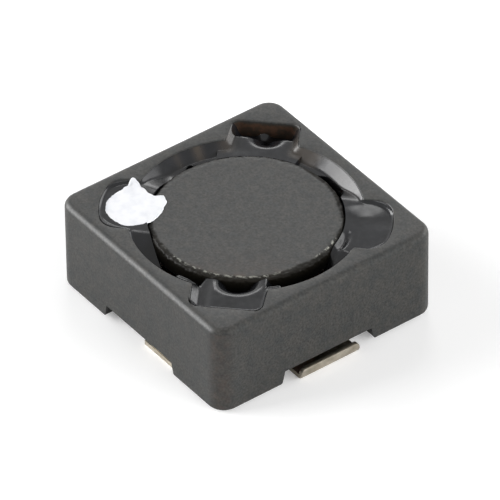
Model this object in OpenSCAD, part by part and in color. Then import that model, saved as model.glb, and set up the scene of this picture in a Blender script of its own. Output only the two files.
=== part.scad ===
// Shielded surface-mount power inductor: a ferrite drum core, wound with one
// enamelled copper wire, potted into a square ferrite shield with two clip
// terminals. +Z is up, the board plane is z = 0 and the origin lies under the
// middle of the body. The terminals face +X and -X.

/* [Shield core] */
// Width of the square body, from face to face
body_w = 10.1; // [9.7:0.1:12]
// Height of the shield core, from its feet to its top
body_h = 3.9; // [3.5:0.1:5]
// Thinnest wall, at the middle of each side
wall_t = 0.6; // [0.4:0.05:0.8]
// Radius of the four upright corners
corner_r = 0.7; // [0.5:0.05:1.1]
// Radius of the top edge
top_edge_r = 0.28; // [0.1:0.02:0.4]
// Radius of the bottom edge of the feet
foot_edge_r = 0.12; // [0.06:0.02:0.2]
// Chamfer round the mouth of the bore
bore_chamfer = 0.06; // [0.02:0.02:0.15]
// Height of the feet above the board
standoff = 0.1; // [0.05:0.01:0.2]

/* [Corner pockets] */
// Depth of a pocket behind the bore, along the diagonal
pocket_depth = 1.04; // [0.8:0.02:1.2]
// Width of a wire pocket at its outer wall
wire_pocket_w = 2.44; // [2:0.04:2.8]
// Flare of a wire pocket's side walls towards the bore, in degrees
wire_pocket_flare = 6; // [0:1:12]
// Corner radius of a wire pocket
wire_pocket_r = 0.35; // [0.15:0.05:0.6]
// Width of a glue pocket
glue_pocket_w = 2.76; // [2.2:0.04:3]
// Corner radius of a glue pocket
glue_pocket_r = 0.7; // [0.3:0.05:0.9]
// Radius of a glue pocket's bowed outer wall
glue_pocket_bow = 3; // [2:0.1:6]

/* [Base notches] */
// Width of a notch at its ceiling
notch_w = 4.04; // [3.2:0.04:4.6]
// Draft of a notch's flanks, in degrees
notch_draft = 14; // [4:1:25]
// Radius of the foot corners beside a notch
foot_corner_r = 0.25; // [0.1:0.05:0.35]
// Clearance between a solder joint and the notch ceiling
notch_clear = 0.07; // [0.03:0.01:0.2]

/* [Drum core] */
// Gap between the drum's flanges and the bore
ring_gap = 0.75; // [0.65:0.05:1]
// Depth of the drum's top below the shield's top
drum_recess = 0.17; // [0.12:0.01:0.3]
// Thickness of each flange
flange_t = 0.7; // [0.5:0.05:0.9]
// Radius of the centre post
post_r = 2; // [1.6:0.05:2.3]
// Chamfer on the flange rims
rim_chamfer = 0.14; // [0.06:0.02:0.2]

/* [Winding] */
// Diameter of the enamelled wire
wire_d = 0.4; // [0.34:0.02:0.44]
// Air between neighbouring turns and layers
turn_gap = 0.02; // [0.015:0.005:0.04]
// Unwound margin between the outer layer and the flange rims
rim_margin = 0.25; // [0.15:0.05:0.35]
// Distance from a tab's ends to the wire's end and to its turn
wire_end = 0.35; // [0.3:0.01:0.4]
// Bend of the leads where they turn
lead_bend = 0.25; // [0.15:0.05:0.3]

/* [Terminals] */
// Width of a terminal plate
term_w = 2.7; // [2.2:0.1:3.2]
// Thickness of the terminal sheet
term_t = 0.2; // [0.15:0.01:0.25]
// Height of the upturned lip above the board
lip_h = 0.5; // [0.4:0.02:0.6]
// How far a lip stands out of the body's side
lip_out = 0.15; // [0.05:0.01:0.25]
// Inner radius of the bend between plate and lip
bend_r = 0.08; // [0.04:0.01:0.15]
// Radius of the lip's upper corners
lip_corner_r = 0.2; // [0.05:0.05:0.25]
// Distance from the middle of the body to a plate's inner end
plate_in = 0.9; // [0.7:0.05:1.2]
// Width of the neck between a plate and its wire tab
neck_w = 0.9; // [0.6:0.05:1]
// Length of a wire tab, along the side of the body
tab_l = 1.9; // [1.7:0.05:2]
// Width of a wire tab, across the wire
tab_w = 0.82; // [0.7:0.02:0.9]
// Distance from the body's side to a wire tab's outer edge
tab_inset = 0.32; // [0.2:0.02:0.4]

/* [Joints and fills] */
// Thickness of the adhesive between a terminal and the drum
adhesive_t = 0.08; // [0.05:0.01:0.15]
// Distance from the adhesive to the edges of what it joins
adhesive_margin = 0.15; // [0.1:0.01:0.3]
// Solder above the wire on a tab
solder_cover = 0.06; // [0.04:0.01:0.1]
// Solder on each side of the wire
solder_side = 0.16; // [0.1:0.02:0.2]
// Depth of the epoxy in the glue pockets
glue_depth = 1.1; // [0.8:0.05:1.4]
// Level of the glue pockets' epoxy below the shield's top
glue_level = 0.14; // [0.11:0.01:0.15]
// Depth of the shallow dish in the right pocket's epoxy
glue_dish = 0.12; // [0.06:0.02:0.2]
// Level of the wire pockets' epoxy below the shield's top
wire_fill_level = 0.12; // [0.08:0.01:0.2]
// Radius of the bowls in the wire pockets' epoxy
bowl_r = 1; // [0.85:0.05:1.05]
// Depth of the back pocket's bowl
bowl_depth = 0.6; // [0.3:0.05:0.65]
// Width of the epoxy between the back pocket's bowl and the drum
bowl_rim = 0.3; // [0.2:0.05:0.4]
// Width of the flat shelf behind the front pocket's open bowl
shelf_w = 0.94; // [0.8:0.02:1]
// Half angle over which a pocket's epoxy fills the ring gap
fill_spread = 22; // [19:1:28]
// Angle from a glue pocket to the end of its run along the gap, towards the back
run_back = 50; // [30:1:58]
// The same, towards the front
run_front = 42; // [30:1:58]
// Level of a run below the shield's top, where it climbs the bore
run_level = 0.25; // [0.16:0.01:0.35]
// Fall of a run from the bore to the drum
run_fall = 0.6; // [0.3:0.05:0.7]

/* [Polarity mark] */
// Radius of the white paint spot
paint_r = 1.07; // [0.9:0.01:1.1]
// Distance from the spot to the glue pocket's outer wall
paint_edge = 0.15; // [0.1:0.01:0.25]
// How far the spot laps over the drum's rim
paint_lap = 0.6; // [0.3:0.05:0.8]
// Thickness of the paint
paint_t = 0.06; // [0.04:0.01:0.08]

/* [Hidden] */
$fn = 96;

// Clearance of a seated piece, and the overrun of a cutting tool
seat_gap = 0.01;
over = 1;

// Levels
foot_z = standoff;
top_z = foot_z + body_h;
drum_z0 = term_t + adhesive_t;
drum_z1 = top_z - drum_recess;
window_z0 = drum_z0 + flange_t;
window_z1 = drum_z1 - flange_t;
notch_z = term_t + seat_gap + wire_d + solder_cover + notch_clear;
fill_z0 = window_z1 + seat_gap;
glue_z1 = top_z - glue_level;
wire_fill_z1 = top_z - wire_fill_level;

// Radii
half_w = body_w / 2;
bore_r = half_w - wall_t;
flange_r = bore_r - ring_gap;
pocket_r = bore_r + pocket_depth;
lead_r = (bore_r + flange_r) / 2;

// Winding: slots lie one above the other, layers one outside the other
wire_r = wire_d / 2;
sides = 8;
turn_steps = 24;
chord = cos(180 / turn_steps);
pitch = wire_d + turn_gap;
slots = floor((window_z1 - window_z0 - 2 * turn_gap - wire_d) / pitch) + 1;
layers = floor((flange_r - rim_margin - post_r) / pitch);
slot0_z = window_z0 + turn_gap + wire_r;
slot1_z = slot0_z + pitch;
slot_top_z = slot0_z + (slots - 1) * pitch;
step_over = 60;

// Diagonals that the pockets lie on
RIGHT = 45;
BACK = 135;
LEFT = 225;
FRONT = 315;

// Colours
FERRITE = "#5e5e5b";
COPPER = "#a5542c";
TIN = "#c9c0b0";
SOLDER = "#bdbfc0";
EPOXY = "#26282b";
PAINT = "#f6f6f4";

// ---------------------------------------------------------------- outlines

// A square bar's half section with a rounded top and bottom outer edge
module edge_section(reach, z0, z1, r_bottom, r_top) {
  translate([0, z0 + r_bottom]) square([reach, z1 - z0 - r_bottom - r_top]);
  translate([0, z0]) square([reach - r_bottom, r_bottom]);
  translate([reach - r_bottom, z0 + r_bottom]) circle(r_bottom);
  translate([0, z1 - r_top]) square([reach - r_top, r_top]);
  translate([reach - r_top, z1 - r_top]) circle(r_top);
}

// Wire pocket: flat outer wall, flaring flanks, rounded corners
module wire_pocket_outline(inset) {
  reach = pocket_r - inset;
  half = wire_pocket_w / 2 - inset;
  r = wire_pocket_r - inset;
  flare = tan(wire_pocket_flare);
  mouth = flange_r / 2;
  cy = half + r * flare - r / cos(wire_pocket_flare);
  foot = [reach - r + r * sin(wire_pocket_flare), cy + r * cos(wire_pocket_flare)];
  wide = half + (reach - mouth) * flare;
  polygon([
    [mouth, -wide], [foot.x, -foot.y], [reach, -cy],
    [reach, cy], [foot.x, foot.y], [mouth, wide]
  ]);
  for (s = [-1, 1])
    translate([reach - r, s * cy]) circle(r);
}

// Glue pocket: bowed outer wall, straight flanks, large corner radii
module glue_pocket_outline(inset) {
  reach = pocket_r - inset;
  half = glue_pocket_w / 2 - inset;
  r = glue_pocket_r - inset;
  bow = glue_pocket_bow - inset;
  bow_x = reach - bow;
  cy = half - r;
  cx = bow_x + sqrt(pow(bow - r, 2) - cy * cy);
  turn = atan2(cy, cx - bow_x);
  mouth = flange_r / 2;
  tip = [bow_x + bow * cos(turn), bow * sin(turn)];
  polygon([
    [mouth, -half], [cx, -half], [tip.x, -tip.y],
    [tip.x, tip.y], [cx, half], [mouth, half]
  ]);
  for (s = [-1, 1])
    translate([cx, s * cy]) circle(r);
  intersection() {
    translate([bow_x, 0]) circle(bow);
    polygon([[mouth, -tip.y], [reach + over, -tip.y], [reach + over, tip.y], [mouth, tip.y]]);
  }
}

// Notch in the foot of each side, seen square on, with rounded foot corners
module notch_outline() {
  half = notch_w / 2;
  r = foot_corner_r;
  cz = foot_z + r;
  cx = half + (notch_z - cz) * tan(notch_draft) + r / cos(notch_draft);
  flank = [cx - r * cos(notch_draft), cz - r * sin(notch_draft)];
  difference() {
    polygon([
      [-half, notch_z], [half, notch_z], [flank.x, flank.y], [cx, foot_z], [cx, foot_z - over],
      [-cx, foot_z - over], [-cx, foot_z], [-flank.x, flank.y]
    ]);
    for (s = [-1, 1])
      translate([s * cx, cz]) circle(r);
  }
}

// Epoxy's outline: the pocket, and the ring gap between two angles from its diagonal
module fill_outline(inset, from, to) {
  reach = 2 * bore_r;
  difference() {
    union() {
      children();
      intersection() {
        circle(bore_r - inset);
        polygon([[0, 0], reach * [cos(from), sin(from)], reach * [cos(to), sin(to)]]);
      }
    }
    circle(flange_r + inset);
  }
}

// ------------------------------------------------------------ ferrite cores

// Square block with upright corners, rounded at its top and bottom edges
module rounded_block() {
  straight = body_w - 2 * corner_r;
  module section() edge_section(corner_r, foot_z, top_z, foot_edge_r, top_edge_r);
  translate([-straight / 2, -straight / 2, foot_z])
    cube([straight, straight, body_h]);
  for (a = [0, 90, 180, 270])
    rotate(a) {
      translate([straight / 2, straight / 2, 0])
        rotate_extrude(angle = 90) section();
      translate([straight / 2, straight / 2, 0])
        rotate([90, 0, 0])
          linear_extrude(straight) section();
    }
}

module shield_core() {
  color(FERRITE)
    difference() {
      rounded_block();
      translate([0, 0, -over]) cylinder(r = bore_r, h = top_z + 2 * over);
      translate([0, 0, top_z - bore_chamfer])
        cylinder(r1 = bore_r, r2 = bore_r + bore_chamfer + over, h = bore_chamfer + over);
      for (a = [FRONT, BACK])
        rotate(a) translate([0, 0, -over])
          linear_extrude(top_z + 2 * over) wire_pocket_outline(0);
      for (a = [RIGHT, LEFT])
        rotate(a) translate([0, 0, -over])
          linear_extrude(top_z + 2 * over) glue_pocket_outline(0);
      for (a = [0, 90])
        rotate([90, 0, a])
          linear_extrude(body_w + 2 * over, center = true) notch_outline();
    }
}

module drum_core() {
  c = rim_chamfer;
  color(FERRITE)
    rotate_extrude() {
      polygon([
        [0, drum_z0], [flange_r - c, drum_z0], [flange_r, drum_z0 + c],
        [flange_r, window_z0 - c], [flange_r - c, window_z0], [post_r, window_z0],
        [post_r, window_z1], [flange_r - c, window_z1], [flange_r, window_z1 + c],
        [flange_r, drum_z1 - c], [flange_r - c, drum_z1], [0, drum_z1]
      ]);
    }
}

// ------------------------------------------------------------------ winding

function layer_r(k) = (post_r + turn_gap + wire_r + k * pitch) / chord;
function polar(r, a, z) = [r * cos(a), r * sin(a), z];
function unit(v) = v / norm(v);

// Angles at which the wire meets the inner layer and leaves the outer one
start_a = BACK + acos(layer_r(0) / lead_r);
end_a = FRONT - acos(layer_r(layers - 1) / lead_r);

// Whole turns in each layer: only the first one uses the lead's own slot
function layer_span(k) = k == 0 ? slots - 1 : slots - 2;
function wrapped(a) = ((a % 360) + 360) % 360;

// Winding angle used up by each layer; the last one stops where its lead leaves
function layer_turn(k) =
  k < layers - 1 ? 360 * layer_span(k)
  : 360 * (layer_span(k) - 1) + wrapped(end_a - start_a - k * step_over);

// Angle at which layer k begins
function layer_start(k) =
  k == 0 ? start_a : layer_start(k - 1) + layer_turn(k - 1) + step_over;

// Even layers climb and odd ones descend
function layer_z(k, t) =
  let (z0 = k == 0 ? slot0_z : k % 2 == 0 ? slot1_z : slot_top_z)
  z0 + (k % 2 == 0 ? 1 : -1) * pitch * t / 360;

function layer_points(k) =
  let (turn = layer_turn(k), step = 360 / turn_steps, n = ceil(turn / step))
  [for (i = [0:n])
    let (t = min(i * step, turn))
    polar(layer_r(k), layer_start(k) + t, layer_z(k, t))];

// Points between two layers, where the wire climbs onto the one below
function step_points(k) =
  let (a0 = layer_start(k) + layer_turn(k), z = layer_z(k, layer_turn(k)),
       step = 360 / turn_steps, n = round(step_over / step))
  [for (i = [1:n - 1])
    polar(layer_r(k) + (layer_r(k + 1) - layer_r(k)) * i / n, a0 + i * step, z)];

function coil_points(k = 0) =
  k == layers - 1 ? layer_points(k)
  : concat(layer_points(k), step_points(k), coil_points(k + 1));

// A lead from the middle of its solder joint up the front pocket to height z
tab_y = -(half_w - tab_inset);
tab_x0 = plate_in + neck_w - tab_l;
run_y = tab_y + tab_w / 2 + wire_r / 2;
run_end_x = tab_x0 + wire_end;
run_turn_x = tab_x0 + tab_l - wire_end;
run_z = term_t + seat_gap + wire_r;
function lead_points(z) = [
  [run_end_x, run_y, run_z],
  [run_turn_x, run_y, run_z],
  polar(lead_r, FRONT, run_z),
  polar(lead_r, FRONT, z)
];
function half_turn(p) = [-p.x, -p.y, p.z];
function reversed(list) = [for (i = [len(list) - 1:-1:0]) list[i]];

// Rounds the corners of a polyline with short curves
function rounded(p, cut, n = 4) = [
  for (i = [0:len(p) - 1])
    if (i == 0 || i == len(p) - 1) p[i]
    else
      let (a = p[i] + cut * unit(p[i - 1] - p[i]), b = p[i] + cut * unit(p[i + 1] - p[i]))
      for (j = [0:n])
        let (t = j / n)
        (1 - t) * (1 - t) * a + 2 * t * (1 - t) * p[i] + t * t * b
];

// The whole wire, from the start terminal's joint to the finish terminal's
function wire_points() =
  let (coil = coil_points(), last = coil[len(coil) - 1],
       lead_in = [for (p = lead_points(slot0_z)) half_turn(p)],
       lead_out = reversed(lead_points(last.z)),
       head = rounded(concat(lead_in, [coil[0]]), lead_bend),
       tail = rounded(concat([last], lead_out), lead_bend))
  concat(
    [for (i = [0:len(head) - 2]) head[i]],
    coil,
    [for (i = [1:len(tail) - 1]) tail[i]]
  );

function tangents(p) = [
  for (i = [0:len(p) - 1])
    unit(p[min(i + 1, len(p) - 1)] - p[max(i - 1, 0)])
];
function square_to(v, t) = unit(v - (v * t) * t);

// Sweeps a round section along the points without twisting it
module wire_sweep(p) {
  t = tangents(p);
  side = [
    for (i = 0, v = square_to([0, 0, 1], t[0]);
         i < len(p);
         i = i + 1, v = i < len(p) ? square_to(v, t[i]) : v) v
  ];
  points = [
    for (i = [0:len(p) - 1])
      for (j = [0:sides - 1])
        let (a = 360 * j / sides, up = cross(t[i], side[i]))
        p[i] + wire_r * (cos(a) * side[i] + sin(a) * up)
  ];
  last = (len(p) - 1) * sides;
  walls = [
    for (i = [0:len(p) - 2])
      for (j = [0:sides - 1])
        let (a = i * sides + j, b = i * sides + (j + 1) % sides)
        for (f = [[a, a + sides, b], [b, a + sides, b + sides]]) f
  ];
  ends = [
    [for (j = [0:sides - 1]) j],
    [for (j = [sides - 1:-1:0]) last + j]
  ];
  polyhedron(points, concat(walls, ends));
}

module winding() {
  color(COPPER) wire_sweep(wire_points());
}

// ---------------------------------------------------------------- terminals

// Side view of plate and lip: a sheet bent up through 90 degrees
module clip_section() {
  outer = half_w + lip_out;
  turn_r = bend_r + term_t;
  translate([plate_in, 0]) square([outer - turn_r - plate_in, term_t]);
  translate([outer - term_t, turn_r]) square([term_t, lip_h - turn_r]);
  translate([outer - turn_r, turn_r])
    intersection() {
      difference() {
        circle(turn_r);
        circle(bend_r);
      }
      translate([0, -turn_r]) square(turn_r);
    }
}

// Front view of the lip, with its two upper corners rounded
module lip_outline() {
  half = term_w / 2;
  r = lip_corner_r;
  translate([-half, -over]) square([term_w, lip_h - r + over]);
  translate([-half + r, -over]) square([term_w - 2 * r, lip_h + over]);
  for (s = [-1, 1])
    translate([s * (half - r), lip_h - r]) circle(r);
}

// Clip terminal on +X: lip, plate, neck and wire tab are one stamping
module clip_terminal() {
  color(TIN) {
    intersection() {
      rotate([90, 0, 0])
        linear_extrude(term_w, center = true) clip_section();
      rotate([90, 0, 90])
        linear_extrude(body_w) lip_outline();
    }
    translate([plate_in, tab_y, 0])
      cube([neck_w, -tab_y - term_w / 2, term_t]);
    translate([tab_x0, tab_y, 0])
      cube([tab_l, tab_w, term_t]);
  }
}

module start_terminal() {
  rotate(180) clip_terminal();
}

module finish_terminal() {
  clip_terminal();
}

// ---------------------------------------------------------- joints and glue

// Solder over the wire's end: a low loaf with the wire's bed cut through it
module solder_joint() {
  top = run_z + wire_r + solder_cover;
  half = wire_r + solder_side;
  rise = top - term_t;
  loaf_r = (half * half + rise * rise) / (2 * rise);
  x0 = run_end_x - wire_end / 3;
  reach = run_turn_x - lead_bend - x0;
  color(SOLDER)
    difference() {
      intersection() {
        translate([x0, run_y, top - loaf_r])
          rotate([0, 90, 0]) cylinder(r = loaf_r, h = reach);
        translate([x0, run_y - half, term_t])
          cube([reach, 2 * half, rise]);
      }
      translate([run_end_x - seat_gap, run_y, run_z])
        rotate([0, 90, 0]) cylinder(r = wire_r + seat_gap, h = reach + over);
    }
}

module start_solder() {
  rotate(180) solder_joint();
}

module finish_solder() {
  solder_joint();
}

// Adhesive under the drum's lower flange, on top of a terminal plate
module terminal_adhesive() {
  reach = flange_r - rim_chamfer - adhesive_margin;
  width = term_w - 2 * adhesive_margin;
  color(EPOXY)
    translate([0, 0, term_t])
      linear_extrude(adhesive_t)
        intersection() {
          circle(reach);
          translate([plate_in + adhesive_margin, -width / 2])
            square([reach, width]);
        }
}

module start_adhesive() {
  rotate(180) terminal_adhesive();
}

module finish_adhesive() {
  terminal_adhesive();
}

// Radius of a sphere that leaves a dish of this radius and depth
function dish_sphere(r, depth) = (r * r + depth * depth) / (2 * depth);

// What lies above a run of epoxy in the ring gap, which climbs the bore and falls
// to the drum, between two angles
module above_run(from, to) {
  slope = run_fall / ring_gap;
  crest = top_z - run_level;
  inner = flange_r - over;
  outer = bore_r + over;
  rotate(from)
    rotate_extrude(angle = to - from)
      polygon([
        [inner, crest - slope * (bore_r - inner)], [outer, crest + slope * over],
        [outer, top_z + over], [inner, top_z + over]
      ]);
}

// Epoxy in a glue pocket, filled to just above the drum's rim, with a run along the
// gap on each side, whose ends lie at two angles from the pocket's diagonal
module glue_fill(from, to) {
  difference() {
    translate([0, 0, glue_z1 - glue_depth])
      linear_extrude(glue_depth)
        fill_outline(seat_gap, from, to) glue_pocket_outline(seat_gap);
    above_run(from - over, -fill_spread);
    above_run(fill_spread, to + over);
  }
}

// Epoxy in a wire pocket
module wire_fill() {
  translate([0, 0, fill_z0])
    linear_extrude(wire_fill_z1 - fill_z0)
      fill_outline(seat_gap, -fill_spread, fill_spread) wire_pocket_outline(seat_gap);
}

module right_epoxy() {
  dish_r = dish_sphere((glue_pocket_w - glue_pocket_r) / 2, glue_dish);
  color(EPOXY)
    rotate(RIGHT)
      difference() {
        glue_fill(-run_front, run_back);
        translate([(flange_r + pocket_r) / 2, 0, glue_z1 + dish_r - glue_dish])
          sphere(dish_r);
      }
}

module left_epoxy() {
  color(EPOXY)
    rotate(LEFT) glue_fill(-run_back, run_front);
}

// The front pocket's bowl is open to the gap, so that the lead shows in it
module front_epoxy() {
  color(EPOXY)
    rotate(FRONT)
      difference() {
        wire_fill();
        translate([pocket_r - shelf_w - bowl_r, 0, 0]) cylinder(r = bowl_r, h = 2 * top_z);
      }
}

module back_epoxy() {
  dish_r = dish_sphere(bowl_r, bowl_depth);
  color(EPOXY)
    rotate(BACK)
      difference() {
        wire_fill();
        translate([flange_r + bowl_rim + bowl_r, 0, wire_fill_z1 + dish_r - bowl_depth])
          sphere(dish_r);
      }
}

// White paint spot on the left epoxy: a round dab with a tongue up the pocket's
// flank and a smaller lobe that laps over the drum
module polarity_mark() {
  lobe_r = 0.6 * paint_r;
  tongue_r = paint_r / 3;
  dab_x = pocket_r - paint_edge - paint_r;
  color(PAINT)
    translate([0, 0, max(glue_z1, drum_z1) + seat_gap])
      linear_extrude(paint_t)
        rotate(LEFT) {
          translate([dab_x, 0]) circle(paint_r);
          translate([flange_r - paint_lap + lobe_r, -lobe_r / 2]) circle(lobe_r);
          translate([dab_x, paint_edge / 2 + tongue_r - glue_pocket_w / 2]) circle(tongue_r);
        }
}

shield_core();
drum_core();
winding();
start_terminal();
finish_terminal();
start_solder();
finish_solder();
start_adhesive();
finish_adhesive();
right_epoxy();
left_epoxy();
front_epoxy();
back_epoxy();
polarity_mark();
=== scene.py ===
"""Dresses the shielded surface-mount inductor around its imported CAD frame.

The object is a ferrite drum core, wound with enamelled copper wire and potted
into a square ferrite shield that stands on two clip terminals. Every piece is
modelled in millimetres in the frame's own axes and turned to metres at the end:
+Z is up, the board plane is z = 0 and the terminals face +X and -X.
"""

from __future__ import annotations

import logging
import math
from dataclasses import dataclass, field
from enum import Enum
from functools import cached_property
from typing import Callable

import bmesh
import bpy
from mathutils import Matrix, Vector, noise


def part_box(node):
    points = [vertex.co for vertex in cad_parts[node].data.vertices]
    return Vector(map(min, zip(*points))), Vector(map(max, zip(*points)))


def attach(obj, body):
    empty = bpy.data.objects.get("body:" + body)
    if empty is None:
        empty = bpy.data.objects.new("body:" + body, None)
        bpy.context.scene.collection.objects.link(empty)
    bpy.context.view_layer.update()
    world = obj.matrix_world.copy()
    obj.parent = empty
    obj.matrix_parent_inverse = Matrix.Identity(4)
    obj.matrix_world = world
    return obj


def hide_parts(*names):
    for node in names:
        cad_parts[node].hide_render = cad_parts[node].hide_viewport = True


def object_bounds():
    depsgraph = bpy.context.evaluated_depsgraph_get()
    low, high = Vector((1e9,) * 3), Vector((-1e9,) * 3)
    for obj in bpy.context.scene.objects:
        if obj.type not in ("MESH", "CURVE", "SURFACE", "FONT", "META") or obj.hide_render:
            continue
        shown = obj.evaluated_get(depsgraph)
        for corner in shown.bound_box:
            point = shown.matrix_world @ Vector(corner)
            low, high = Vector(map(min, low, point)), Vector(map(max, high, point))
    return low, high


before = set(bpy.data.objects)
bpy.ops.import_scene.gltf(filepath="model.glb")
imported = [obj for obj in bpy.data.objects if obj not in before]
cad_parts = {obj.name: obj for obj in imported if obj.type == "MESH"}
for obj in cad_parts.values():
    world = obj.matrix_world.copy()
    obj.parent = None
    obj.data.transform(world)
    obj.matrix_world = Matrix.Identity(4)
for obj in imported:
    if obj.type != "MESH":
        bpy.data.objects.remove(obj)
CAD_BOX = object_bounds()

MM = 0.001
MERGE_MM = 1e-5
SHARP = math.radians(35)
Point = tuple[float, float]
Stretch = tuple[float, float, float, float]
log = logging.getLogger("inductor")


# ------------------------------------------------------------------ helpers


def linear(colour: str) -> tuple[float, float, float, float]:
    """Turns an sRGB hex colour into the linear values that shaders take.

    Args:
        colour: Six hex digits after a hash sign.

    Returns:
        Linear red, green and blue, with an alpha of 1.
    """
    parts = [int(colour[i : i + 2], 16) / 255 for i in (1, 3, 5)]
    red, green, blue = (
        c / 12.92 if c <= 0.04045 else ((c + 0.055) / 1.055) ** 2.4 for c in parts
    )
    return red, green, blue, 1.0


def box_mm(node: str) -> tuple[Vector, Vector]:
    """Gives a CAD node's lowest and highest corners in millimetres."""
    low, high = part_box(node)
    return low / MM, high / MM


def turned(point: Point, degrees: float) -> Point:
    """Turns a point of the plane counterclockwise about the middle."""
    c, s = math.cos(math.radians(degrees)), math.sin(math.radians(degrees))
    return point[0] * c - point[1] * s, point[0] * s + point[1] * c


def direction(x: float, y: float) -> float:
    """Gives a point's direction from the middle, from 0 to 360 degrees."""
    return math.degrees(math.atan2(y, x)) % 360


def arc(centre: Point, radius: float, start: float, end: float, steps: int) -> list[Point]:
    """Lists points along an arc between two angles in degrees, both ends included."""
    spots = [turned((radius, 0.0), start + (end - start) * i / steps) for i in range(steps + 1)]
    return [(centre[0] + x, centre[1] + y) for x, y in spots]


def smoothstep(value: float, low: float = 0.0, high: float = 1.0) -> float:
    """Eases a value from 0 at its low end to 1 at its high end."""
    t = min(max((value - low) / (high - low), 0.0), 1.0)
    return t * t * (3 - 2 * t)


def soft_min(first: float, second: float, blend: float) -> float:
    """Takes the smaller of two values, eased where they differ by less than the blend."""
    near = max(blend - abs(first - second), 0.0)
    return min(first, second) - near * near / (4 * blend)


def soft_max(first: float, second: float, blend: float) -> float:
    """Takes the larger of two values, eased where they differ by less than the blend."""
    return -soft_min(-first, -second, blend)


def between(angle: float, start: float, end: float, fade: float) -> float:
    """Says how far an angle lies inside a stretch, easing over its ends.

    Args:
        angle: The angle, in degrees.
        start: Start of the stretch.
        end: End of the stretch, counterclockwise from the start.
        fade: Angle over which the stretch fades in and out.

    Returns:
        1 well inside the stretch and 0 outside it.
    """
    middle, half = (start + end) / 2, (end - start) / 2
    away = abs((angle - middle + 180) % 360 - 180)
    return 1 - smoothstep(away, half - fade, half)


def shares(angle: float, stretches: tuple[Stretch, ...]) -> list[float]:
    """Lists what stretches give at an angle, each with its start, end, fade and amount."""
    return [amount * between(angle, start, end, fade) for start, end, fade, amount in stretches]


# ---------------------------------------------------------------- materials


def add_node(
    tree: bpy.types.NodeTree,
    kind: str,
    inputs: dict[str | int, object] | None = None,
    **settings: object,
) -> bpy.types.Node:
    """Adds a node with its settings and links.

    Args:
        tree: Node tree to add to.
        kind: The node's type name.
        inputs: Values, source sockets, or nodes whose first output is the source.
        **settings: The node's own properties.

    Returns:
        The new node.
    """
    node = tree.nodes.new(kind)
    for name, value in settings.items():
        setattr(node, name, value)
    for key, value in (inputs or {}).items():
        source = value.outputs[0] if isinstance(value, bpy.types.Node) else value
        if isinstance(source, bpy.types.NodeSocket):
            tree.links.new(source, node.inputs[key])
        else:
            node.inputs[key].default_value = source
    return node


def new_tree(name: str) -> tuple[bpy.types.Material, bpy.types.NodeTree]:
    """Makes a material with an empty node tree.

    Args:
        name: Name of the material.

    Returns:
        The material and its tree.
    """
    material = bpy.data.materials.new(name)
    material.use_nodes = True
    material.node_tree.nodes.clear()
    return material, material.node_tree


def layered(tree: bpy.types.NodeTree, colour: object, *layers: object) -> bpy.types.NodeSocket:
    """Lays colours over one another.

    Args:
        tree: Node tree to add to.
        colour: The lowest colour, as hex digits or a socket.
        *layers: Pairs of a share's source and the colour that it lays over.

    Returns:
        The mixed colour.
    """
    for share, over in layers:
        pair = [linear(c) if isinstance(c, str) else c for c in (colour, over)]
        inputs = {"Factor": share, 6: pair[0], 7: pair[1]}
        colour = add_node(tree, "ShaderNodeMix", inputs, data_type="RGBA").outputs[2]
    return colour


def dressed(
    material: bpy.types.Material, height: bpy.types.Node, relief_mm: float, **surface: object
) -> bpy.types.Material:
    """Ends a material with a shader whose relief comes from a height.

    Args:
        material: The material.
        height: Height pattern, from 0 to 1.
        relief_mm: Real height of the pattern, in millimetres.
        **surface: Shader inputs, with underscores for spaces.

    Returns:
        The material.
    """
    tree = material.node_tree
    relief = {"Height": height, "Distance": relief_mm * MM, "Strength": 1.0}
    inputs = {name.replace("_", " "): value for name, value in surface.items()}
    inputs["Normal"] = add_node(tree, "ShaderNodeBump", relief)
    shader = add_node(tree, "ShaderNodeBsdfPrincipled", inputs)
    add_node(tree, "ShaderNodeOutputMaterial", {"Surface": shader})
    return material


@dataclass(frozen=True)
class Blotches:
    """Soft blotches of a real size.

    Attributes:
        size_mm: Rough width of one blotch.
        low: Noise value at which a blotch begins.
        high: Noise value from which it is full.
        detail: Finer layers on top.
        rough: Strength of the finer layers.
    """

    size_mm: float
    low: float = 0.35
    high: float = 0.65
    detail: float = 2.0
    rough: float = 0.5

    def build(
        self, tree: bpy.types.NodeTree, ends: Point = (0.0, 1.0)
    ) -> tuple[bpy.types.Node, bpy.types.Node]:
        """Adds the pattern to a tree.

        Args:
            tree: Node tree to add to.
            ends: Values between the blotches and within them.

        Returns:
            The raw noise and the blotches.
        """
        inputs = {
            "Vector": add_node(tree, "ShaderNodeTexCoord").outputs["Object"],
            "Scale": 1 / (self.size_mm * MM),
            "Detail": self.detail,
            "Roughness": self.rough,
        }
        pattern = add_node(tree, "ShaderNodeTexNoise", inputs)
        inputs = {0: pattern, 1: self.low, 2: self.high, 3: ends[0], 4: ends[1]}
        return pattern, add_node(tree, "ShaderNodeMapRange", inputs)


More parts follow.
